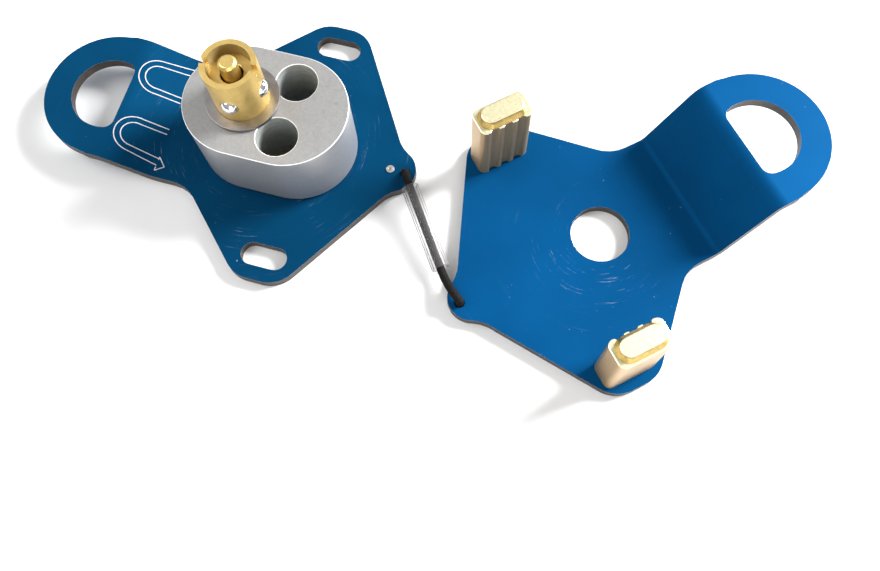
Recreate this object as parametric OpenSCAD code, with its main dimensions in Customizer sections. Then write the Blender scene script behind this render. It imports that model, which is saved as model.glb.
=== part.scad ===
// Self-locking rescue belay: two side plates, an oval cam on a ball-lock post, brake blocks and a tether.
// Millimetres, +Z up. The base plate lies flat with the post on the Z axis and its eye towards -X.
// The lid plate lies open beside it, inner face up, joined to the base by a short tether.

/* [Plates] */
// thickness of both side plates
plate_t = 3; // [2:0.1:4]
// distance from the post to the centre of the carabiner eye
eye_centre = 46.4; // [40:0.2:52]
// outer radius of the carabiner eye
eye_r = 20; // [16:0.1:24]
// half width of the neck
neck_half = 20.4; // [16:0.1:24]
// distance from the post to the corner of the D hole's flat side
d_flat = 42.2; // [38:0.1:48]
// radius of the round side of the D hole
d_r = 11.4; // [8:0.1:13]
// rise of the base plate's eye
jog_base = 5.5; // [0:0.1:12]
// rise of the lid plate's eye
jog_lid = 17.5; // [8:0.1:20]
// clear gap between the plates when the lid is on
gap = 23.4; // [20:0.1:28]
// radius of the lid's hole for the post
lid_hole_r = 8.4; // [7.8:0.05:9.5]

/* [Cam] */
// radius of both ends of the oval cam
cam_r = 17.1; // [15:0.1:19]
// distance between the cam's two end centres
cam_span = 12.7; // [8:0.1:16]
// height of the cam
cam_h = 21.4; // [18:0.1:23]
// radius of the cam's two lightening holes
cam_hole_r = 5.85; // [4:0.05:7]
// half spacing of the two holes
cam_hole_u = 8.7; // [7:0.1:10]

/* [Post] */
// radius of the ball-lock post
post_r = 7.5; // [6.5:0.05:8]
// height of the post's rim above the base plate's underside
post_top = 42; // [38:0.2:46]
// height of the locking balls
ball_z = 32.6; // [30:0.1:36]
// radius of a locking ball
ball_r = 2.4; // [1.8:0.05:3]
// direction of the first ball and of the rim slots
ball_turn = 5; // [0:1:45]

/* [Brake blocks] */
// distance of each block from the plate's centre line
block_u = 36.1; // [34:0.1:38]
// distance of the blocks from the post, towards the tip
block_v = 13.6; // [10:0.1:18]
// length of a block along the plate
block_l = 15.7; // [12:0.1:18]
// width of a block
block_w = 8.2; // [6:0.1:10]
// height of a block's shoulder
block_h = 23.2; // [18:0.1:25]

/* [Tether] */
// distance from the post to the tether hole
tether_v = 45.2; // [40:0.1:50]
// radius of the cord
cord_r = 1.2; // [0.8:0.1:1.6]

/* [Hidden] */
// where the open lid's post hole lies, and how far the lid is turned
lid_x = 104.4;
lid_y = -4.2;
lid_turn = -47.7;
// underside and top of the cam
cam_z = 3.6;
cam_top = cam_z + cam_h;
// outer radius of the cam's bush
bush_r = 8.6;
// bore for the plunger and the cross holes for the balls
bore_r = 4.35;
ball_hole_r = 2.45;
// the base plate's slots, which the blocks' bosses enter when the device is shut
slot_u = 35.6;
slot_v = 13.4;
slot_l = 13.6;
slot_w = 6.8;
// distance from the post to the small rivet
rivet_v = 40.6;
// spacing from a block's middle to its outer flutes and to its screws
flute_pitch = 4;
flute_r = 1.6;
screw_pitch = 4;
// melted ends of the cord
bead_r = 2.5;
bead_h = 1.4;
// length of a cut that passes right through the cam or a block
through = 30;

// Route of the tether's cord, from the base plate's hole to the lid plate's hole.
route_a = [[45.2, 0, 1.6], [45.2, 0, 2.9], [45.5, -0.5, 4.1], [46.2, -1.9, 5.1], [47.2, -3.6, 5.5],
    [48.2, -5.2, 5.6]];
route_b = [[48.2, -5.2, 5.6], [53.2, -12.2, 4.8], [58.2, -19.2, 4], [63.2, -26.2, 3.2]];
route_in = [[48.4, -5.48, 5.568], [53.2, -12.2, 4.8], [58.2, -19.2, 4], [63, -25.92, 3.232]];
route_c = [[63.2, -26.2, 3.2], [64.9, -28.5, 3.2], [66.8, -30.8, 4.1], [68.8, -32.9, 5.1],
    [70.4, -34.2, 5], [71, -34.6, 4], [71, -34.6, 2.8], [71, -34.6, 1.6]];

function unit(a) = a / norm(a);
function tangent(p, i) = unit(p[min(i + 1, len(p) - 1)] - p[max(i - 1, 0)]);
function side(t) = unit(cross(t, abs(t[2]) > 0.9 ? [0.8, -0.6, 0.2] : [0, 0, 1]));
function ring(c, t, r, n) = [for (k = [0:n - 1])
    c + r * (cos(360 * k / n) * side(t) + sin(360 * k / n) * cross(side(t), t))];
function arcp(cx, cz, r, a0, a1, n) = [for (i = [0:n]) [cx + r * cos(a0 + (a1 - a0) * i / n),
    cz + r * sin(a0 + (a1 - a0) * i / n)]];
function flat_all(l) = [for (a = l) for (b = a) b];

// A closed tube along a list of points, with a uniform radius.
module tube(p, r, n) {
  m = len(p);
  pts = flat_all([for (i = [0:m - 1]) ring(p[i], tangent(p, i), r, n)]);
  sides = flat_all([for (i = [0:m - 2]) [for (k = [0:n - 1])
      [i * n + k, i * n + (k + 1) % n, (i + 1) * n + (k + 1) % n, (i + 1) * n + k]]]);
  caps = [[for (k = [0:n - 1]) n - 1 - k], [for (k = [0:n - 1]) (m - 1) * n + k]];
  polyhedron(points = pts, faces = [for (f = concat(sides, caps)) [for (k = [len(f) - 1:-1:0]) f[k]]],
      convexity = 4);
}

// Outline of a side plate: x is across the plate, y runs from the post towards the eye.
module outline() {
  offset(r = -11) offset(r = 11) union() {
    translate([0, eye_centre]) circle(r = eye_r, $fn = 72);
    translate([-neck_half, -10]) square([2 * neck_half, eye_centre + 10]);
    offset(r = 9, $fn = 48) offset(delta = -9) polygon([[20.4, 16], [43.2, -6.8],
        [43.2, -20.1], [9, -41.2], [-9, -41.2], [-43.2, -20.1], [-43.2, -6.8], [-20.4, 16]]);
    polygon([[13, -38], [-13, -38], [-4, -43], [4, -43]]);
    translate([0, -41.2]) circle(r = 7, $fn = 48);
  }
}

// The eye's D hole, its flat side across the plate.
module d_hole() {
  offset(r = 3, $fn = 32) offset(delta = -3) intersection() {
    translate([0, 46.8]) circle(r = d_r, $fn = 72);
    translate([-20, d_flat]) square([40, 30]);
  }
}

// Side view of a joggled plate: x runs towards the eye, y is up.
module side_view(jog, turn, ri, va) {
  k = 2 * ri + plate_t;
  vb = va + k * sin(turn) + (jog - k * (1 - cos(turn))) / tan(turn);
  polygon(concat([[-60, plate_t]], arcp(va, plate_t + ri, ri, -90, -90 + turn, 8),
  arcp(vb, jog - ri, ri + plate_t, 90 + turn, 90, 8), [[80, jog + plate_t], [80, jog]],
  arcp(vb, jog - ri, ri, 90, 90 + turn, 8), arcp(va, plate_t + ri, ri + plate_t, -90 + turn, -90, 8),
      [[-60, 0]]));
}

// A plate blank: the outline cut from a bent sheet.
module blank(jog, turn, ri, va) {
  intersection() {
    translate([0, 0, -1]) linear_extrude(height = 40) difference() {
      outline();
      d_hole();
    }
    translate([-60, 0, 0]) rotate([90, 0, 90]) linear_extrude(height = 120) side_view(jog, turn, ri, va);
  }
}

// A flat stadium: x across, y along.
module stadium(l, w) {
  translate([0, (l - w) / 2]) circle(d = w, $fn = 40);
  translate([0, (w - l) / 2]) circle(d = w, $fn = 40);
  square([w, l - w], center = true);
}

module tether_cut() {
  translate([0, -tether_v, -1]) cylinder(r = 1.5, h = 6, $fn = 32);
  translate([0, -tether_v, -1]) cylinder(r = 2.6, h = 2.6, $fn = 32);
}

module base_plate() {
  color([0.03, 0.25, 0.47]) rotate([0, 0, 90]) difference() {
    blank(jog_base, 20, 10, 25);
    translate([0, 0, -1]) cylinder(r = 4.3, h = 6, $fn = 48);
    translate([0, 0, -0.01]) cylinder(r1 = 8.2, r2 = 4.3, h = 2.6, $fn = 48);
    for (s = [-1, 1]) translate([s * slot_u, -slot_v, -1])
        linear_extrude(height = 6) stadium(slot_l, slot_w);
    translate([0, -rivet_v, -1]) cylinder(r = 0.8, h = 6, $fn = 24);
    tether_cut();
  }
}

// The post: solid foot on the plate, bore for the plunger, cup with two rim slots.
module post_body() {
  color([0.76, 0.6, 0.28]) rotate([0, 0, ball_turn]) difference() {
    translate([0, 0, plate_t]) cylinder(r = post_r, h = post_top - plate_t, $fn = 72);
    translate([0, 0, 35.6]) cylinder(r = 6, h = 10, $fn = 64);
    translate([0, 0, 16]) cylinder(r = bore_r, h = 23, $fn = 48);
    translate([0, 0, 2]) cylinder(r = 3, h = 10, $fn = 40);
    for (a = [0, 90]) rotate([0, 0, a]) translate([0, 0, ball_z]) rotate([0, 90, 0])
        cylinder(r = ball_hole_r, h = 20, center = true, $fn = 40);
    translate([-10, -0.9, post_top - 2.2]) cube([20, 1.8, 5]);
  }
}

module post_screw() {
  color([0.5, 0.5, 0.52]) difference() {
    union() {
      translate([0, 0, 0.2]) cylinder(r1 = 7.9, r2 = 4.2, h = 2.4, $fn = 48);
      translate([0, 0, 2.5]) cylinder(r = 4.2, h = 0.5, $fn = 48);
      translate([0, 0, 2.9]) cylinder(r = 3, h = 8.6, $fn = 40);
    }
    translate([0, 0, -1]) cylinder(r = 2.9, h = 3.2, $fn = 6);
  }
}

module post_washer() {
  color([0.45, 0.43, 0.41]) difference() {
    translate([0, 0, cam_top + 0.1]) cylinder(r = 10.4, h = 1, $fn = 72);
    translate([0, 0, cam_top - 1]) cylinder(r = post_r, h = 4, $fn = 72);
  }
}

module thrust_washer() {
  color([0.62, 0.5, 0.33]) difference() {
    translate([0, 0, plate_t]) cylinder(r = 12, h = 0.5, $fn = 64);
    translate([0, 0, 1]) cylinder(r = post_r, h = 4, $fn = 72);
  }
}

// The ring that closes the post's bore and keeps the plunger in.
module post_plug() {
  color([0.72, 0.57, 0.27]) difference() {
    translate([0, 0, 35.6]) cylinder(r = 6, h = 2, $fn = 64);
    translate([0, 0, 30]) cylinder(r = 3.1, h = 10, $fn = 40);
  }
}

module index_rivet() {
  color([0.8, 0.78, 0.75]) rotate([0, 0, 90]) translate([0, -rivet_v, 0]) difference() {
    union() {
      translate([0, 0, 0.2]) cylinder(r = 0.8, h = 2.8, $fn = 24);
      translate([0, 0, 3]) cylinder(r = 1.2, h = 0.3, $fn = 24);
    }
    translate([0, 0, 2.4]) cylinder(r = 0.45, h = 3, $fn = 16);
  }
}

// The oval cam turns on the post, which passes through its eye-side end.
module cam() {
  color([0.66, 0.67, 0.68]) rotate([0, 0, 90]) difference() {
    translate([0, 0, cam_z]) linear_extrude(height = cam_h) union() {
      circle(r = cam_r, $fn = 96);
      translate([0, -cam_span]) circle(r = cam_r, $fn = 96);
      translate([-cam_r, -cam_span]) square([2 * cam_r, cam_span]);
    }
    translate([0, 0, 1]) cylinder(r = bush_r, h = through, $fn = 64);
    for (s = [-1, 1]) translate([s * cam_hole_u, -cam_span, 1])
        cylinder(r = cam_hole_r, h = through, $fn = 56);
  }
}

module cam_bush() {
  color([0.6, 0.47, 0.3]) difference() {
    translate([0, 0, cam_z]) cylinder(r = bush_r, h = cam_h, $fn = 64);
    translate([0, 0, 1]) cylinder(r = post_r + 0.06, h = through, $fn = 72);
  }
}

// The plunger: its cone holds the balls out and lets them in evenly as it is pressed.
module button_plunger() {
  color([0.74, 0.58, 0.27]) union() {
    translate([0, 0, 42.4]) cylinder(r1 = 2.55, r2 = 1.9, h = 0.7, $fn = 40);
    translate([0, 0, 34.9]) cylinder(r = 2.55, h = 7.5, $fn = 40);
    translate([0, 0, 31.5]) cylinder(r1 = 4.3, r2 = 2.55, h = 3.5, $fn = 48);
    translate([0, 0, 29.6]) cylinder(r = 4.3, h = 1.9, $fn = 48);
    translate([0, 0, 25.4]) cylinder(r = 2.2, h = 4.3, $fn = 32);
  }
}

// The return spring, coiled about the plunger's tail.
module plunger_spring() {
  turns = 6;
  steps = 60;
  coil_r = 3.3;
  p = [for (i = [0:steps]) [coil_r * cos(360 * turns * i / steps), coil_r * sin(360 * turns * i / steps),
      16.5 + 12.5 * i / steps]];
  color([0.55, 0.55, 0.57]) tube(p, 0.4, 8);
}

module ball(k) {
  color([0.75, 0.76, 0.78]) rotate([0, 0, ball_turn + 90 * k]) translate([6.5, 0, ball_z])
      sphere(r = ball_r, $fn = 32);
}

module ball_1() {
  ball(0);
}

module ball_2() {
  ball(1);
}

module ball_3() {
  ball(2);
}

module ball_4() {
  ball(3);
}

module on_lid() {
  translate([lid_x, lid_y, 0]) rotate([0, 0, lid_turn]) children();
}

module lid_plate() {
  color([0.03, 0.33, 0.66]) on_lid() difference() {
    blank(jog_lid, 52, 2.5, 25.2);
    translate([0, 0, -1]) cylinder(r = lid_hole_r, h = 6, $fn = 72);
    for (s = [-1, 1]) for (t = [-1, 1]) translate([s * block_u, -block_v + t * screw_pitch, 0]) {
      translate([0, 0, -1]) cylinder(r = 2.05, h = 6, $fn = 32);
      translate([0, 0, -0.01]) cylinder(r1 = 3.7, r2 = 2.05, h = 2, $fn = 32);
    }
    tether_cut();
  }
}

// A brake block: three flutes on the face towards the post, a stadium boss on top.
module block(s) {
  color([0.78, 0.66, 0.42]) on_lid() translate([s * block_u, -block_v, 0]) difference() {
    union() {
      translate([0, 0, plate_t]) linear_extrude(height = block_h) offset(r = 2, $fn = 40)
          square([block_w - 4, block_l - 4], center = true);
      translate([0, 0, plate_t + block_h - 0.5]) linear_extrude(height = 2.5) stadium(12.4, 5.4);
    }
    for (t = [-1, 0, 1]) translate([-s * (block_w / 2 + 0.7), t * flute_pitch, 0])
        cylinder(r = flute_r, h = through, $fn = 32);
    for (t = [-1, 1]) translate([0, t * screw_pitch, 0]) cylinder(r = 2, h = 13, $fn = 32);
  }
}

module brake_block_1() {
  block(-1);
}

module brake_block_2() {
  block(1);
}

module block_screws() {
  color([0.55, 0.55, 0.57]) on_lid() for (s = [-1, 1]) for (t = [-1, 1])
      translate([s * block_u, -block_v + t * screw_pitch, 0]) difference() {
    union() {
      translate([0, 0, 0.1]) cylinder(r1 = 3.6, r2 = 2, h = 1.9, $fn = 32);
      translate([0, 0, 1.9]) cylinder(r = 2, h = 10, $fn = 32);
    }
    translate([0, 0, -1]) cylinder(r = 1.5, h = 2.4, $fn = 6);
  }
}

module tether_cord_base() {
  color([0.04, 0.04, 0.04]) tube(route_a, cord_r, 8);
}

module tether_cord_mid() {
  color([0.04, 0.04, 0.04]) tube(route_in, cord_r, 8);
}

module tether_cord_lid() {
  color([0.04, 0.04, 0.04]) tube(route_c, cord_r, 8);
}

// The clear sleeve lies on the base plate's edge and on the ground.
module tether_sleeve() {
  len_s = norm(route_b[3] - route_b[0]);
  d = route_b[3] - route_b[0];
  color([0.85, 0.87, 0.88]) translate(route_b[0]) rotate([0, acos(d[2] / len_s), atan2(d[1], d[0])])
      difference() {
    cylinder(r = 2.6, h = len_s, $fn = 40);
    translate([0, 0, -1]) cylinder(r = 2, h = len_s + 2, $fn = 40);
  }
}

module bead_base() {
  color([0.03, 0.03, 0.03]) rotate([0, 0, 90]) translate([0, -tether_v, 0.1])
      cylinder(r = bead_r, h = bead_h, $fn = 32);
}

module bead_lid() {
  color([0.03, 0.03, 0.03]) on_lid() translate([0, -tether_v, 0.1])
      cylinder(r = bead_r, h = bead_h, $fn = 32);
}

base_plate();
post_body();
post_screw();
post_washer();
thrust_washer();
post_plug();
index_rivet();
cam();
cam_bush();
button_plunger();
plunger_spring();
ball_1();
ball_2();
ball_3();
ball_4();
lid_plate();
brake_block_1();
brake_block_2();
block_screws();
tether_cord_base();
tether_sleeve();
tether_cord_mid();
tether_cord_lid();
bead_base();
bead_lid();
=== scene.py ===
import bpy
import bmesh
from math import sin, cos, pi, radians, hypot, sqrt, floor
from mathutils import Vector, Matrix
from mathutils.bvhtree import BVHTree


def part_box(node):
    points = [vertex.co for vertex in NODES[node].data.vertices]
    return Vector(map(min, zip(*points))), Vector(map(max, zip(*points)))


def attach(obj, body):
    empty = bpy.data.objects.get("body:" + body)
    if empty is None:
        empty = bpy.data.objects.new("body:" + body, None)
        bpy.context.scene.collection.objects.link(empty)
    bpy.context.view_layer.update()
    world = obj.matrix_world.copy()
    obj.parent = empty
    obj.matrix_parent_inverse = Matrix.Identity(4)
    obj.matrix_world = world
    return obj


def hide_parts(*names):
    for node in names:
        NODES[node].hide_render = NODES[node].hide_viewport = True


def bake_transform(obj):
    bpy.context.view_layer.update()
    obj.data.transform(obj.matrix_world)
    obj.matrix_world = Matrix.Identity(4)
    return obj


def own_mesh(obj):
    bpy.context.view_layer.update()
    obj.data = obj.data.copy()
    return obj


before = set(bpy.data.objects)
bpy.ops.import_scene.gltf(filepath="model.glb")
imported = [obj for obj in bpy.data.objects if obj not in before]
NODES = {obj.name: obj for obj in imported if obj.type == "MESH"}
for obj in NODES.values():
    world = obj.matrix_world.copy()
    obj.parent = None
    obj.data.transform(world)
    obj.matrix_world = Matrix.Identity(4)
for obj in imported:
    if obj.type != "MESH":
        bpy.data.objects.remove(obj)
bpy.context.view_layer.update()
MM = 0.001

# Where the open lid lies: its post hole, and how far it is turned.
LID_C = Vector((104.4, -4.2, 0)) * MM
LID_A = radians(-47.7)
# The cord and the clear sleeve on it, in millimetres.
CORD_R = 1.22
BRAID_DEPTH = 0.2
SLEEVE_OUT_R = 2.6
SLEEVE_IN_R = 2.0
SLEEVE_LIP = 0.12
# The cam's far end and its two holes.
CAM_SPAN = 12.7
CAM_HOLE_U = 8.7
CAM_HOLE_REACH = 6.6
# Anything in the post nearer the axis than this is its inside, which is painted darker as painted shade.
POST_INSIDE_R = 6.3
# The brake blocks' places on the lid, and the raised oval on each.
BLOCK_U = 36.1
BLOCK_V = 13.6
BLOCK_SHOULDER = 26.25
BOSS_R = 2.7
BOSS_HALF = 3.5
# The return spring.
SPRING_COIL_R = 3.3
SPRING_WIRE_R = 0.4
SPRING_FOOT = 16.5
SPRING_H = 12.5
SPRING_TURNS = 6

# Base tones of the visible metals and dyes; every material shades its own tone.
TONE = {
    "base": (0.001, 0.04, 0.10),
    "lid": (0.001, 0.055, 0.16),
    "cam": (0.31, 0.31, 0.31),
    "gold": (0.70, 0.50, 0.17),
    # The two block tones are lit and shaded copies of one finish: the top tone is painted light, the side
    # tone painted shade.
    "block_top_painted_lit": (0.90, 0.84, 0.55),
    "block_side_painted_shade": (0.48, 0.33, 0.165),
    "washer": (0.31, 0.29, 0.28),
}

def shade(name, k):
    return tuple(min(1.0, c * k) for c in TONE[name])

# ---------------------------------------------------------------- camera
def make_camera():
    az, el, roll = radians(18.82), radians(71.2), radians(-3.56)
    back = Vector((sin(az) * cos(el), -cos(az) * cos(el), sin(el)))
    right = Vector((cos(az), sin(az), 0.0))
    up = back.cross(right)
    r = right * cos(roll) + up * sin(roll)
    u = up * cos(roll) - right * sin(roll)
    cam = bpy.data.objects.new("camera", bpy.data.cameras.new("camera"))
    bpy.context.scene.collection.objects.link(cam)
    m = Matrix((r, u, back)).transposed().to_4x4()
    m.translation = Vector((0.0892, -0.1039, 0.2289))
    cam.matrix_world = m
    cam.data.sensor_width = 36.0
    cam.data.lens = 34.76
    cam.data.clip_start = 0.01
    bpy.context.scene.camera = cam

make_camera()
bpy.context.scene.view_settings.view_transform = "Standard"

# ---------------------------------------------------------------- mesh helpers
def add(name, bm, mats=(), smooth=30.0):
    me = bpy.data.meshes.new(name)
    bm.to_mesh(me)
    bm.free()
    for m in mats:
        me.materials.append(m)
    me.polygons.foreach_set("use_smooth", [True] * len(me.polygons))
    me.set_sharp_from_angle(angle=radians(smooth))
    for f in me.polygons:
        if f.area > 40 * MM * MM or abs(f.normal.z) > 0.9999:
            f.use_smooth = False
    o = bpy.data.objects.new(name, me)
    bpy.context.scene.collection.objects.link(o)
    return o

def smooth_path(points, step):
    """A dense, even path through points: a Catmull-Rom curve."""
    p = [Vector(q) * MM for q in points]
    p = [p[0] * 2 - p[1]] + p + [p[-1] * 2 - p[-2]]
    fine = []
    for i in range(1, len(p) - 2):
        for k in range(40):
            t = k / 40.0
            a, b, c, d = p[i - 1], p[i], p[i + 1], p[i + 2]
            square = (2 * a - 5 * b + 4 * c - d) * t * t
            cube = (3 * b - a - 3 * c + d) * t * t * t
            fine.append(0.5 * ((2 * b) + (c - a) * t + square + cube))
    fine.append(p[-2])
    out, acc = [fine[0]], 0.0
    for a, b in zip(fine, fine[1:]):
        acc += (b - a).length
        if acc >= step * MM:
            out.append(b)
            acc = 0.0
    if (out[-1] - fine[-1]).length > 1e-6:
        out[-1] = fine[-1]
    return out

def frames(path):
    """A frame that turns as little as possible along the path."""
    n = len(path)
    tang = [(path[min(i + 1, n - 1)] - path[max(i - 1, 0)]).normalized() for i in range(n)]
    ref = Vector((0.8, -0.6, 0.05))
    ref = (ref - tang[0] * ref.dot(tang[0])).normalized()
    out = []
    for i in range(n):
        ref = (ref - tang[i] * ref.dot(tang[i])).normalized()
        out.append((tang[i], ref.copy(), tang[i].cross(ref)))
    return out

def tube(bm, path, radius, sides, caps=True):
    """radius(i, s, angle) gives the surface; s is the length along the path."""
    fr = frames(path)
    rings, s = [], 0.0
    for i, c in enumerate(path):
        if i:
            s += (path[i] - path[i - 1]).length
        ring = []
        for k in range(sides):
            a = 2 * pi * k / sides
            r = radius(i, s, a)
            ring.append(bm.verts.new(c + (fr[i][1] * cos(a) + fr[i][2] * sin(a)) * r))
        rings.append(ring)
    for a, b in zip(rings, rings[1:]):
        for k in range(sides):
            bm.faces.new((a[k], a[(k + 1) % sides], b[(k + 1) % sides], b[k]))
    if caps:
        bm.faces.new(list(reversed(rings[0])))
        bm.faces.new(rings[-1])
    return rings

def from_node(node, bevel, angle=32.0):
    """The CAD node's shape with its sharp edges broken, as a bmesh, and the set of new edge faces."""
    bm = bmesh.new()
    bm.from_mesh(NODES[node].data)
    bmesh.ops.remove_doubles(bm, verts=bm.verts, dist=2e-6)
    bmesh.ops.dissolve_limit(bm, angle_limit=radians(0.6), verts=bm.verts, edges=bm.edges)
    bmesh.ops.recalc_face_normals(bm, faces=bm.faces)
    edges = [e for e in bm.edges if len(e.link_faces) == 2 and e.calc_face_angle() > radians(angle)]
    r = bmesh.ops.bevel(bm, geom=edges, offset=bevel * MM, offset_type="OFFSET", segments=2, profile=0.5,
                        affect="EDGES", clamp_overlap=True)
    bm.normal_update()
    return bm, set(r["faces"])

# ---------------------------------------------------------------- materials
class Mat:
    def __init__(self, name):
        self.m = bpy.data.materials.new(name)
        self.m.use_nodes = True
        self.t = self.m.node_tree
        self.t.nodes.clear()
        self.out = self.t.nodes.new("ShaderNodeOutputMaterial")
        self.p = self.t.nodes.new("ShaderNodeBsdfPrincipled")
        self.t.links.new(self.p.outputs[0], self.out.inputs[0])
        self.tc = self.t.nodes.new("ShaderNodeTexCoord")
        self.pos = self.tc.outputs["Object"]

    def set(self, **kw):
        for k, v in kw.items():
            self.p.inputs[k.replace("_", " ")].default_value = v
        return self

    def link(self, a, b):
        self.t.links.new(a, b)

    def node(self, kind, **kw):
        n = self.t.nodes.new(kind)
        for k, v in kw.items():
            setattr(n, k, v)
        return n

    def mapping(self, vec, scale=(1, 1, 1), loc=(0, 0, 0), rot=(0, 0, 0)):
        n = self.node("ShaderNodeMapping")
        self.link(vec, n.inputs["Vector"])
        n.inputs["Location"].default_value = loc
        n.inputs["Rotation"].default_value = rot
        n.inputs["Scale"].default_value = scale
        return n.outputs[0]

    def noise(self, vec, scale, detail=2.0, rough=0.5, dist=0.0):
        n = self.node("ShaderNodeTexNoise")
        self.link(vec, n.inputs["Vector"])
        n.inputs["Scale"].default_value = scale
        n.inputs["Detail"].default_value = detail
        n.inputs["Roughness"].default_value = rough
        n.inputs["Distortion"].default_value = dist
        return n.outputs["Fac"]

    def ramp(self, fac, stops):
        n = self.node("ShaderNodeValToRGB")
        e = n.color_ramp.elements
        e[0].position, e[0].color = stops[0][0], self.rgba(stops[0][1])
        e[1].position, e[1].color = stops[-1][0], self.rgba(stops[-1][1])
        for p, c in stops[1:-1]:
            x = e.new(p)
            x.color = self.rgba(c)
        self.link(fac, n.inputs[0])
        return n.outputs[0]

    @staticmethod
    def rgba(c):
        return (c, c, c, 1) if isinstance(c, (int, float)) else (*c, 1)

    def math(self, op, a, b=None, clamp=False):
        n = self.node("ShaderNodeMath", operation=op, use_clamp=clamp)
        for i, v in enumerate((a, b)):
            if v is None:
                continue
            if isinstance(v, (int, float)):
                n.inputs[i].default_value = v
            else:
                self.link(v, n.inputs[i])
        return n.outputs[0]

    def mix(self, fac, a, b):
        n = self.node("ShaderNodeMix", data_type="RGBA")
        for sock, v in ((n.inputs["Factor"], fac), (n.inputs[6], a), (n.inputs[7], b)):
            if isinstance(v, (int, float)):
                sock.default_value = v if sock is n.inputs["Factor"] else (v, v, v, 1)
            elif isinstance(v, tuple):
                sock.default_value = (*v, 1)
            else:
                self.link(v, sock)
        return n.outputs[2]

    def color(self, v):
        self.link(v, self.p.inputs["Base Color"])
        return self

    def rough(self, fac, lo, hi):
        n = self.node("ShaderNodeMapRange")
        self.link(fac, n.inputs["Value"])
        n.inputs["To Min"].default_value = lo
        n.inputs["To Max"].default_value = hi
        self.link(n.outputs[0], self.p.inputs["Roughness"])
        return self

    def bump(self, height, depth_mm, strength=1.0):
        n = self.node("ShaderNodeBump")
        self.link(height, n.inputs["Height"])
        n.inputs["Distance"].default_value = depth_mm * MM
        n.inputs["Strength"].default_value = strength
        self.link(n.outputs[0], self.p.inputs["Normal"])
        return self

def anodised(name, main, dark, light, lid):
    """Blue anodised sheet: fine blasted grain, faint rolling lines, cloudy tone, and scuffs."""
    m = Mat(name)
    if lid:
        loc = m.node("ShaderNodeVectorMath", operation="SUBTRACT")
        m.link(m.pos, loc.inputs[0])
        loc.inputs[1].default_value = LID_C
        p = m.mapping(loc.outputs[0], rot=(0, 0, -LID_A))
    else:
        p = m.mapping(m.pos, rot=(0, 0, -pi / 2))
    cloud = m.noise(p, 22, 3, 0.55)
    grain = m.noise(p, 2600, 2, 0.6)
    lines = m.noise(m.mapping(p, scale=(2400, 60, 60)), 1.0, 2, 0.5)
    col = m.ramp(cloud, [(0.3, dark), (0.52, main), (0.75, light)])
    col = m.mix(m.math("MULTIPLY", lines, 0.10), col, light)
    # scratches that run round the post hole
    sep = m.node("ShaderNodeSeparateXYZ")
    m.link(p, sep.inputs[0])
    x, y = sep.outputs[0], sep.outputs[1]
    rad = m.math("SQRT", m.math("ADD", m.math("MULTIPLY", x, x), m.math("MULTIPLY", y, y)))
    ang = m.math("ARCTAN2", y, x)
    comb = m.node("ShaderNodeCombineXYZ")
    m.link(m.math("MULTIPLY", rad, 1500.0), comb.inputs[0])
    m.link(m.math("MULTIPLY", ang, 1.6), comb.inputs[1])
    arc = m.noise(comb.outputs[0], 1.0, 4, 0.75)
    arc = m.ramp(arc, [(0.60, 0.0), (0.70, 1.0)])
    if lid:
        near = m.ramp(m.math("MULTIPLY", rad, 1000.0 / 40.0),
                      [(0.0, 0.0), (0.2, 0.15), (0.30, 0.75), (0.44, 0.9), (0.56, 0.12), (1.0, 0.03)])
        aim = m.node("ShaderNodeMapRange")
        m.link(m.math("COSINE", m.math("ADD", ang, 1.15)), aim.inputs["Value"])
        aim.inputs["From Min"].default_value = -0.2
        aim.inputs["From Max"].default_value = 0.9
        aim.inputs["To Min"].default_value = 0.06
        near = m.math("MULTIPLY", near, aim.outputs[0])
    else:
        near = m.ramp(m.math("MULTIPLY", rad, 1000.0 / 60.0),
                      [(0.0, 0.0), (0.25, 0.05), (0.5, 0.5), (0.62, 0.2), (1.0, 0.03)])
    patch = m.ramp(m.noise(p, 160, 3, 0.6), [(0.42, 0.0), (0.62, 1.0)])
    scr = m.math("MULTIPLY", m.math("MULTIPLY", arc, near), patch)
    fleck = m.ramp(m.noise(p, 700, 3, 0.6), [(0.70, 0.0), (0.74, 1.0)])
    fleck = m.math("MULTIPLY", fleck, m.ramp(m.noise(p, 60, 2, 0.5), [(0.5, 0.0), (0.66, 0.5)]))
    wear = m.math("ADD", scr, fleck, clamp=True)
    m.color(m.mix(wear, col, (0.30, 0.38, 0.48)))
    m.rough(m.math("ADD", m.math("MULTIPLY", grain, 0.6), m.math("MULTIPLY", cloud, 0.4)), 0.52, 0.66)
    m.bump(m.math("ADD", m.math("MULTIPLY", grain, 0.6), m.math("MULTIPLY", wear, -1.0)), 0.012, 0.5)
    m.set(Metallic=0.4, Specular_IOR_Level=0.02)
    return m.m

def metal(name, c0, c1, rough=(0.25, 0.4), lines=None, grain=900, depth=0.01, metallic=1.0, scuff=0.0):
    """Bare or dyed metal with fine noise; lines is the stretch of its tool marks along x, y, z."""
    m = Mat(name)
    g = m.noise(m.pos, grain, 3, 0.6)
    v = g
    if lines:
        l = m.noise(m.mapping(m.pos, scale=lines), 1.0, 2, 0.6)
        v = m.math("ADD", m.math("MULTIPLY", g, 0.35), m.math("MULTIPLY", l, 0.65))
    col = m.ramp(v, [(0.3, c0), (0.7, c1)])
    if scuff:
        s = m.ramp(m.noise(m.pos, 420, 4, 0.7, 0.6), [(0.60, 0.0), (0.68, 1.0)])
        s = m.math("MULTIPLY", s, m.ramp(m.noise(m.pos, 90, 2, 0.5), [(0.45, 0.0), (0.65, scuff)]))
        col = m.mix(s, col, tuple(x * 0.55 for x in c0))
    m.color(col)
    m.rough(v, *rough)
    m.bump(v, depth, 0.6)
    m.set(Metallic=metallic)
    return m.m

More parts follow.
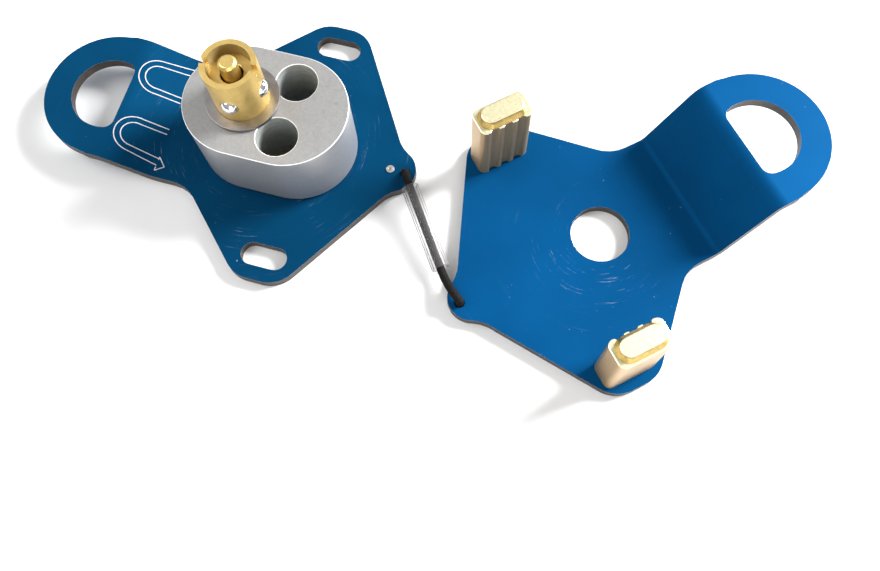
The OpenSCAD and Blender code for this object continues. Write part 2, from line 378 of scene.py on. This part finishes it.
def turned(name, c0, c1, rough=(0.2, 0.32), pitch=0.18, depth=0.01, centre=(0, 0), metallic=1.0):
    """Turned metal: fine rings along the axis on the side, and round the centre on the faces."""
    m = Mat(name)
    p = m.mapping(m.pos, loc=(-centre[0] * MM, -centre[1] * MM, 0))
    sep = m.node("ShaderNodeSeparateXYZ")
    m.link(p, sep.inputs[0])
    x, y, z = sep.outputs
    rad = m.math("SQRT", m.math("ADD", m.math("MULTIPLY", x, x), m.math("MULTIPLY", y, y)))
    w = m.math("MULTIPLY", m.math("ADD", rad, z), 2 * pi * 1000.0 / pitch)
    rings = m.math("ADD", m.math("MULTIPLY", m.math("SINE", w), 0.5), 0.5)
    g = m.noise(m.pos, 500, 3, 0.6)
    v = m.math("ADD", m.math("MULTIPLY", rings, 0.4), m.math("MULTIPLY", g, 0.6))
    m.color(m.ramp(v, [(0.25, c0), (0.75, c1)]))
    m.rough(g, *rough)
    m.bump(v, depth, 0.5)
    m.set(Metallic=metallic)
    return m.m

BLUE_BASE = anodised("blue_base", shade("base", 1.0), shade("base", 0.82), shade("base", 1.25), False)
BLUE_LID = anodised("blue_lid", shade("lid", 1.0), shade("lid", 0.85), shade("lid", 1.2), True)
CUT = metal("cut_edge", (0.035, 0.03, 0.027), (0.10, 0.085, 0.075), (0.4, 0.6), lines=(120, 120, 3000),
            depth=0.02, metallic=0.6)
# Painted highlight on the plates' broken edges.
RIM_PAINTED_HIGHLIGHT = metal("edge_glint", (0.34, 0.42, 0.50), (0.62, 0.68, 0.72), (0.3, 0.45), metallic=0.7)
CAM_TOP = metal("cam_top", shade("cam", 0.92), shade("cam", 1.08), (0.42, 0.56), grain=1300,
                depth=0.012, metallic=0.6, scuff=0.6)
# Cam side walls: painted reflected light, a paler copy of the cam tone; the tool lines are real.
CAM_WALL_PAINTED_LIGHT = metal("cam_wall_painted_light", shade("cam", 1.2), shade("cam", 1.5), (0.3, 0.42), lines=(60, 60, 2600),
                 depth=0.006, metallic=0.7)
# Painted highlight on the cam's chamfered edge.
CAM_EDGE_PAINTED_HIGHLIGHT = metal("cam_edge_painted_highlight", (0.80, 0.80, 0.79), (0.93, 0.93, 0.92), (0.35, 0.5), depth=0.004, metallic=0.3)
CAM_HOLE = metal("cam_hole", (0.26, 0.28, 0.27), (0.46, 0.48, 0.47), (0.35, 0.5), lines=(90, 90, 1700),
                 depth=0.03, metallic=0.35)
GOLD = turned("gold", shade("gold", 0.85), shade("gold", 1.15), (0.34, 0.46), 0.22, 0.008, metallic=0.85)
# Painted shade: the post's bore painted darker than its gold outside.
GOLD_IN_PAINTED_SHADE = turned("gold_inside_painted_shade", (0.26, 0.19, 0.07), (0.38, 0.28, 0.11), (0.4, 0.52), 0.3, 0.01, metallic=0.4)
# Painted highlight on the gold parts' broken edges.
GOLD_EDGE_PAINTED_HIGHLIGHT = metal("gold_edge_painted_highlight", shade("gold", 1.5), shade("gold", 1.9), (0.22, 0.32), depth=0.004)
# Block sides: painted shade, a darker copy of the block finish; the brushed lines are real.
BLOCK_SIDE_PAINTED_SHADE = metal("block_side_painted_shade", shade("block_side_painted_shade", 0.92), shade("block_side_painted_shade", 1.1), (0.32, 0.44),
                   lines=(1600, 1600, 40), depth=0.012, metallic=0.75)
# Block tops: painted light, a paler copy of the same finish.
BLOCK_TOP_PAINTED_LIT = metal("block_top_painted_lit", shade("block_top_painted_lit", 0.92), shade("block_top_painted_lit", 1.08), (0.36, 0.5),
                  grain=1100, depth=0.008)
# Painted highlight on the blocks' broken edges.
BLOCK_EDGE_PAINTED_HIGHLIGHT = metal("block_edge_painted_highlight", shade("block_top_painted_lit", 1.15), shade("block_top_painted_lit", 1.35), (0.28, 0.4), depth=0.004)
# Painted shade for the groove and sloped foot round each block's raised oval.
BLOCK_GROOVE_PAINTED_SHADE = metal("block_groove_painted_shade", shade("gold", 0.6), shade("gold", 0.9), (0.3, 0.44), depth=0.008)
WASHER = turned("washer_steel", shade("washer", 0.82), shade("washer", 1.2), (0.3, 0.45), 0.35, 0.012)
STEEL = metal("plain_steel", (0.32, 0.32, 0.33), (0.45, 0.45, 0.46), (0.25, 0.4), depth=0.01)
CHROME = metal("ball_steel", (0.82, 0.83, 0.85), (0.92, 0.93, 0.94), (0.04, 0.10), depth=0.001)
BRONZE = turned("bronze", (0.30, 0.20, 0.10), (0.46, 0.32, 0.17), (0.3, 0.42), 0.3, 0.012)
RIVET = turned("rivet", (0.62, 0.58, 0.54), (0.80, 0.77, 0.74), (0.25, 0.4), 0.2, 0.01, centre=(40.6, 0))

def cord_material():
    m = Mat("cord_black")
    f = m.noise(m.pos, 3200, 3, 0.7)
    m.color(m.ramp(f, [(0.35, (0.002, 0.002, 0.002)), (0.7, (0.014, 0.013, 0.012))]))
    m.rough(f, 0.7, 0.9)
    m.bump(f, 0.03, 0.6)
    m.set(Specular_IOR_Level=0.15)
    return m.m

def sleeve_material():
    """Clear plastic tube: see-through face on, greyish white where it turns away, which is a painted
    reflection.
    """
    m = Mat("sleeve_clear")
    f = m.noise(m.pos, 260, 3, 0.6)
    m.color(m.ramp(f, [(0.3, (0.22, 0.21, 0.22)), (0.7, (0.36, 0.35, 0.36))]))
    m.rough(f, 0.06, 0.16)
    m.bump(f, 0.02, 0.4)
    w = m.node("ShaderNodeLayerWeight")
    w.inputs["Blend"].default_value = 0.35
    # Painted reflection: the grey colour turns opaque towards the grazing edges.
    see = m.ramp(w.outputs["Facing"], [(0.0, 0.08), (0.35, 0.2), (0.6, 0.7), (0.85, 1.0)])
    m.link(see, m.p.inputs["Alpha"])
    m.set(IOR=1.5)
    return m.m

def engraving_material():
    m = Mat("engraving")
    f = m.noise(m.pos, 1500, 2, 0.6)
    m.color(m.ramp(f, [(0.3, (0.42, 0.40, 0.42)), (0.7, (0.60, 0.56, 0.58))]))
    m.rough(f, 0.4, 0.6)
    m.set(Metallic=0.2)
    return m.m

CORD = cord_material()
SLEEVE = sleeve_material()
ENGRAVE = engraving_material()

# ---------------------------------------------------------------- tether
ROUTE_A = [(45.2, 0, 1.6), (45.2, 0, 2.9), (45.5, -0.5, 4.1), (46.2, -1.9, 5.1), (47.2, -3.6, 5.5),
           (48.2, -5.2, 5.6)]
ROUTE_B = [(48.2, -5.2, 5.6), (53.2, -12.2, 4.8), (58.2, -19.2, 4.0), (63.2, -26.2, 3.2)]
ROUTE_C = [(63.2, -26.2, 3.2), (64.9, -28.5, 3.2), (66.8, -30.8, 4.1), (68.8, -32.9, 5.1),
           (70.4, -34.2, 5.0), (71, -34.6, 4.0), (71, -34.6, 2.8), (71, -34.6, 1.6)]

def braid(r_mm, around=8, pitch_mm=2.3):
    """The cord's radius with its woven strands standing out, as a function for tube."""
    def radius(i, s, a):
        u = around * a / (2 * pi)
        v = s / (pitch_mm * MM) * 2.0
        p, q = u + v, u - v
        over = (floor(p) + floor(q)) % 2 == 0
        t = (p if over else q) % 1.0
        ridge = sqrt(max(0.0, 1 - (2 * t - 1) ** 2))
        return (r_mm - BRAID_DEPTH + BRAID_DEPTH * ridge) * MM
    return radius

def cord_pieces():
    """The cord in three lengths; the middle one makes the loop."""
    route = smooth_path(ROUTE_A + ROUTE_B[1:] + ROUTE_C[1:], 0.06)
    loop_start, loop_end = ROUTE_C[3], ROUTE_C[4]

    def at(point):
        return min(range(len(route)), key=lambda i: (route[i] - Vector(point) * MM).length)

    a, b = at(loop_start), at(loop_end)
    made = []
    last = len(route) - 1
    for name, i, j in (("tether_cord_long", 0, a), ("tether_cord_loop", a, b), ("tether_cord_end", b, last)):
        bm = bmesh.new()
        tube(bm, route[i:j + 1], braid(CORD_R), 40)
        o = add(name, bm, [CORD], 60)
        made.append(o)
    long_part, loop_part, end_part = made
    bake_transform(long_part)
    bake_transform(loop_part)
    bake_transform(end_part)
    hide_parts("tether_cord_base", "tether_cord_mid")
    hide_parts("tether_cord_lid")

cord_pieces()

def sleeve_piece():
    a, b = Vector(ROUTE_B[0]) * MM, Vector(ROUTE_B[-1]) * MM
    n = 60
    path = [a.lerp(b, i / n) for i in range(n + 1)]
    bm = bmesh.new()
    sides = 48

    def lip(i):
        return SLEEVE_LIP if i in (0, n) else 0.0

    out = tube(bm, path, lambda i, s, t: (SLEEVE_OUT_R - lip(i)) * MM, sides, caps=False)
    inn = tube(bm, path, lambda i, s, t: (SLEEVE_IN_R + lip(i)) * MM, sides, caps=False)
    for r0, r1, flip in ((out[0], inn[0], True), (out[-1], inn[-1], False)):
        for k in range(sides):
            f = (r0[k], r0[(k + 1) % sides], r1[(k + 1) % sides], r1[k])
            bm.faces.new(tuple(reversed(f)) if flip else f)
    bmesh.ops.recalc_face_normals(bm, faces=bm.faces)
    o = add("tether_sleeve_clear", bm, [SLEEVE], 40)
    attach(o, "tether")
    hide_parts("tether_sleeve")

sleeve_piece()

# ---------------------------------------------------------------- plates
def plate_piece(node, body, blue):
    """A side plate: blue faces, a dark cut edge, and a painted highlight along the broken edge."""
    bm, new = from_node(node, 0.32, 35)
    for f in bm.faces:
        nz = abs(f.normal.z)
        if f in new:
            f.material_index = 2
        elif nz < 0.25:
            f.material_index = 1
        else:
            f.material_index = 0
    o = add(node + "_sheet", bm, [blue, CUT, RIM_PAINTED_HIGHLIGHT], 20)
    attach(o, body)
    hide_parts(node)

plate_piece("base_plate", "base", BLUE_BASE)
plate_piece("lid_plate", "lid", BLUE_LID)

# ---------------------------------------------------------------- rope-path marks on the base
def marks_piece():
    """Two double-line loops, one with an arrow: the way the rope runs. Thin lines on the plate's top face."""
    above, proud = 50 * MM, 0.04 * MM
    plate = bmesh.new()
    plate.from_mesh(NODES["base_plate"].data)
    tree = BVHTree.FromBMesh(plate)
    bm = bmesh.new()

    def line(points, width=0.30):
        rows = []
        for i, q in enumerate(points):
            a, b = points[max(i - 1, 0)], points[min(i + 1, len(points) - 1)]
            d = Vector((b[0] - a[0], b[1] - a[1], 0)).normalized()
            n = Vector((-d.y, d.x, 0)) * width / 2
            row = []
            for e in (-1, 1):
                x, y = q[0] + e * n.x, q[1] + e * n.y
                hit = tree.ray_cast(Vector((x * MM, y * MM, above)), Vector((0, 0, -1)))[0]
                row.append(bm.verts.new(hit + Vector((0, 0, proud))))
            rows.append(row)
        for a, b in zip(rows, rows[1:]):
            bm.faces.new((a[0], b[0], b[1], a[1]))

    def loop(side, gap):
        r = 4.6 + gap
        cx, cy = -35.6, side * 10.0
        pts = [(-27.5, cy - side * r * 0.98)]
        pts += [(cx + r * cos(radians(t)), cy - side * r * sin(radians(t))) for t in range(80, 261, 10)]
        pts += [(-27.0, cy + side * r * 1.22)]
        fine = []
        for a, b in zip(pts, pts[1:]):
            fine += [(a[0] + (b[0] - a[0]) * k / 4, a[1] + (b[1] - a[1]) * k / 4) for k in range(4)]
        return fine + [pts[-1]]

    for side in (-1, 1):
        for gap in (-0.9, 0.9):
            line(loop(side, gap))
    tip, back = (-24.6, -16.6), -27.0
    line([(back, -18.4), tip])
    line([(back, -13.9), tip])
    line([(back, -18.4), (back, -17.2)])
    line([(back, -13.9), (back, -14.9)])
    plate.free()
    o = add("base_rope_marks", bm, [ENGRAVE], 40)
    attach(o, "base")

marks_piece()

# ---------------------------------------------------------------- cam
def cam_piece():
    bm, new = from_node("cam", 0.36, 40)
    for f in bm.faces:
        c = f.calc_center_median() / MM
        in_hole = any(hypot(c.x - CAM_SPAN, c.y - s * CAM_HOLE_U) < CAM_HOLE_REACH for s in (-1, 1))
        nz = abs(f.normal.z)
        # Chamfer faces get the painted highlight.
        if f in new:
            f.material_index = 2
        elif nz > 0.9:
            f.material_index = 0
        # Side walls get the painted light, hole walls their own tone.
        else:
            f.material_index = 3 if in_hole else 1
    o = add("cam_body", bm, [CAM_TOP, CAM_WALL_PAINTED_LIGHT, CAM_EDGE_PAINTED_HIGHLIGHT, CAM_HOLE], 20)
    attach(o, "cam")
    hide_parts("cam")

cam_piece()

# ---------------------------------------------------------------- post and its parts
def simple_piece(node, body, mats, bevel, pick=None, angle=32):
    """A small part made from its CAD node; pick gives the material of a face."""
    bm, new = from_node(node, bevel, angle)
    for f in bm.faces:
        f.material_index = pick(f, f in new) if pick else 0
    o = add(node + "_d", bm, mats, 20)
    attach(o, body)
    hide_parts(node)

def edge_pick(f, edge):
    return 1 if edge else 0

def button_pick(f, edge):
    """Only the button's own chamfer gets the painted highlight, not the edges down in the bore."""
    return 1 if edge and f.calc_center_median().z > 42 * MM else 0

def post_pick(f, edge):
    c = f.calc_center_median() / MM
    if edge:
        return 1
    # Inside walls of the post get the painted shade.
    return 2 if hypot(c.x, c.y) < POST_INSIDE_R and f.normal.z < 0.9 else 0

simple_piece("post_body", "base", [GOLD, GOLD_EDGE_PAINTED_HIGHLIGHT, GOLD_IN_PAINTED_SHADE], 0.22, post_pick)
simple_piece("post_plug", "base", [GOLD, GOLD_EDGE_PAINTED_HIGHLIGHT], 0.15, edge_pick)
simple_piece("button_plunger", "button", [GOLD, GOLD_EDGE_PAINTED_HIGHLIGHT], 0.12, button_pick)
simple_piece("post_washer", "base", [WASHER, WASHER], 0.15, edge_pick)
simple_piece("thrust_washer", "base", [BRONZE], 0.08)
simple_piece("cam_bush", "cam", [BRONZE], 0.15)
simple_piece("post_screw", "base", [STEEL], 0.12)
simple_piece("index_rivet", "base", [RIVET], 0.06)
simple_piece("block_screws", "lid", [STEEL], 0.1)
simple_piece("bead_base", "base", [CORD], 0.4)
simple_piece("bead_lid", "lid", [CORD], 0.4)

# ---------------------------------------------------------------- brake blocks
def block_pick(f, edge):
    """Broken edges with a painted highlight, top faces painted pale as painted light, brushed sides painted
    darker as painted shade (two copies of one finish), and painted shade on the groove round the raised oval.
    """
    z = f.calc_center_median().z / MM
    # Side walls of the raised oval: painted shade.
    if z > BLOCK_SHOULDER and abs(f.normal.z) < 0.6:
        return 3
    # Broken edges get the painted highlight.
    if edge and abs(f.normal.z) > 0.2:
        return 2
    # Upward faces get the painted-light top tone, the rest the painted-shade side tone.
    return 1 if f.normal.z > 0.9 else 0

for k in (1, 2):
    simple_piece("brake_block_%d" % k, "lid",
                 [BLOCK_SIDE_PAINTED_SHADE, BLOCK_TOP_PAINTED_LIT, BLOCK_EDGE_PAINTED_HIGHLIGHT, BLOCK_GROOVE_PAINTED_SHADE], 0.35, block_pick, angle=40)

def boss_skirts():
    """The sloped foot round each block's raised oval, painted darker than the top as painted shade."""
    sides = 64

    def on_lid(u, v, z):
        x, y = u * cos(LID_A) - v * sin(LID_A), u * sin(LID_A) + v * cos(LID_A)
        return LID_C + Vector((x, y, z)) * MM

    for side in (-1, 1):
        bm = bmesh.new()
        rings = []
        for out, z in ((0.95, 26.22), (0.85, 26.5), (0.25, 27.3), (0.06, 27.9), (-0.05, 27.9)):
            ring = []
            for k in range(sides):
                a = 2 * pi * k / sides
                u = side * BLOCK_U + (BOSS_R + out) * cos(a)
                v = -BLOCK_V + (BOSS_R + out) * sin(a) + (BOSS_HALF if sin(a) >= 0 else -BOSS_HALF)
                ring.append(bm.verts.new(on_lid(u, v, z)))
            rings.append(ring)
        for a, b in zip(rings, rings[1:]):
            for k in range(sides):
                bm.faces.new((a[k], a[(k + 1) % sides], b[(k + 1) % sides], b[k]))
        bmesh.ops.recalc_face_normals(bm, faces=bm.faces)
        o = add("block_skirt_%d" % (1 if side < 0 else 2), bm, [BLOCK_GROOVE_PAINTED_SHADE], 40)
        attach(o, "lid")

boss_skirts()

# ---------------------------------------------------------------- balls and spring
for k in range(4):
    name = "ball_%d" % (k + 1)
    lo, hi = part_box(name)
    bm = bmesh.new()
    bmesh.ops.create_uvsphere(bm, u_segments=48, v_segments=32, radius=(hi.x - lo.x) / 2)
    bmesh.ops.translate(bm, vec=(lo + hi) / 2, verts=bm.verts)
    o = add(name + "_steel", bm, [CHROME], 180)
    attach(o, name)
    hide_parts(name)

def spring_piece():
    n = 360
    path = []
    for i in range(n + 1):
        a = 2 * pi * SPRING_TURNS * i / n
        z = SPRING_FOOT + SPRING_H * i / n
        path.append(Vector((SPRING_COIL_R * cos(a), SPRING_COIL_R * sin(a), z)) * MM)
    bm = bmesh.new()
    tube(bm, path, lambda i, s, a: SPRING_WIRE_R * MM, 12)
    o = add("plunger_spring_wire", bm, [STEEL], 60)
    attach(o, "base")
    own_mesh(o)
    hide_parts("plunger_spring")

spring_piece()

# ---------------------------------------------------------------- stage and light
def stage_mesh():
    bm = bmesh.new()
    bmesh.ops.create_grid(bm, x_segments=2, y_segments=2, size=3.0)
    m = Mat("floor_paper")
    f = m.noise(m.pos, 40, 3, 0.6)
    m.color(m.ramp(f, [(0.3, 0.80), (0.7, 0.83)]))
    m.set(Roughness=0.8)
    o = add("floor", bm, [m.m], 30)

stage_mesh()

def area(name, loc, size, power):
    """A round soft light aimed at the middle of the object."""
    l = bpy.data.lights.new(name, "AREA")
    l.shape = "DISK"
    l.size = size
    l.energy = power
    o = bpy.data.objects.new(name, l)
    bpy.context.scene.collection.objects.link(o)
    o.location = loc
    o.rotation_euler = (Vector((0.06, 0, 0)) - Vector(loc)).to_track_quat("-Z", "Y").to_euler()

def sky():
    """A soft white room: bright overhead and darker towards the horizon."""
    w = bpy.data.worlds.new("soft_room")
    w.use_nodes = True
    t = w.node_tree
    tc = t.nodes.new("ShaderNodeTexCoord")
    sep = t.nodes.new("ShaderNodeSeparateXYZ")
    t.links.new(tc.outputs["Generated"], sep.inputs[0])
    ramp = t.nodes.new("ShaderNodeValToRGB")
    ramp.color_ramp.elements[0].position = 0.05
    ramp.color_ramp.elements[0].color = (0.55, 0.55, 0.56, 1)
    ramp.color_ramp.elements[1].position = 0.75
    ramp.color_ramp.elements[1].color = (1, 1, 1, 1)
    t.links.new(sep.outputs[2], ramp.inputs[0])
    t.links.new(ramp.outputs[0], t.nodes["Background"].inputs[0])
    t.nodes["Background"].inputs[1].default_value = 0.50
    bpy.context.scene.world = w

sky()
area("key", (0.90, 0.72, 0.62), 0.50, 52.0)
area("fill", (-0.60, -0.10, 0.80), 0.8, 5.0)
area("front", (0.55, -0.85, 0.40), 0.7, 5.5)
